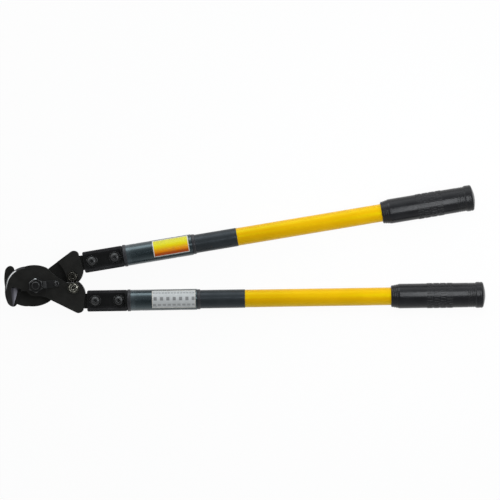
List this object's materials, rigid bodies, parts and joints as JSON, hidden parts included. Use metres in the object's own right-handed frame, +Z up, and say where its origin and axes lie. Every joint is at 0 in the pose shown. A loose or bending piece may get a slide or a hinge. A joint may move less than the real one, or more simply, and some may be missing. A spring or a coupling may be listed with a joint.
{
  "type": "cable cutter",
  "caption": "Long-handled cable cutter with two overlapping hooked blades on a pivot bolt, insulated tube handles and rubber grips.",
  "frame": {"origin": "on the floor under the pivot, at the centre of the pivot bolt head's face", "axes": "+X from the pivot towards the grips, half way between the closed handles; +Z up along the pivot axis; +Y towards the upper handle"},
  "size_m": [0.7167, 0.1851, 0.0434],
  "materials": {
    "blade_black": "satin black oxide with ground edges",
    "bracket_black": "satin black",
    "black_steel": "oiled black oxide",
    "bolt_steel": "plain steel",
    "zinc": "bright zinc plate",
    "ring_black": "satin black",
    "sleeve_slate": "glossy slate enamel",
    "cover_black": "semi-gloss black shrink sleeve",
    "tube_yellow": "glossy yellow glass-fibre",
    "plug_rubber": "matt",
    "grip_rubber": "moulded, slight sheen",
    "label_warm": "yellow fading to orange, plain",
    "label_grey": "light grey, plain ruled marks"
  },
  "bodies": {
    "lower_arm": {"front_blade": "blade_black", "pivot_bolt": "bolt_steel", "pivot_washer": "bolt_steel", "tab_washer": "black_steel", "pivot_nut": "black_steel", "lock_screw": "bolt_steel", "lower_bracket": "bracket_black", "lower_bracket_bolts": "black_steel", "lower_bracket_washers": "black_steel", "lower_bracket_nuts": "black_steel", "lower_stop_bolt": "zinc", "lower_stop_nut": "zinc", "lower_front_ring": "ring_black", "lower_sleeve": "sleeve_slate", "lower_rear_ring": "ring_black", "lower_tube_cover": "cover_black", "lower_tube": "tube_yellow", "lower_tube_plug": "plug_rubber", "lower_cross_pins": "bolt_steel", "lower_grip": "grip_rubber", "lower_label": "label_grey"},
    "upper_arm": {"rear_blade": "blade_black", "upper_bracket": "bracket_black", "upper_bracket_bolts": "black_steel", "upper_bracket_washers": "black_steel", "upper_bracket_nuts": "black_steel", "upper_stop_bolt": "zinc", "upper_stop_nut": "zinc", "upper_front_ring": "ring_black", "upper_sleeve": "sleeve_slate", "upper_rear_ring": "ring_black", "upper_tube_cover": "cover_black", "upper_tube": "tube_yellow", "upper_tube_plug": "plug_rubber", "upper_cross_pins": "bolt_steel", "upper_grip": "grip_rubber", "upper_label": "label_warm"}
  },
  "joints": [
    {"name": "pivot", "type": "hinge", "parent": "lower_arm", "child": "upper_arm", "pos_m": [0, 0, 0.01953], "axis": [0, 0, 1], "range_deg": [0, 110]}
  ]
}
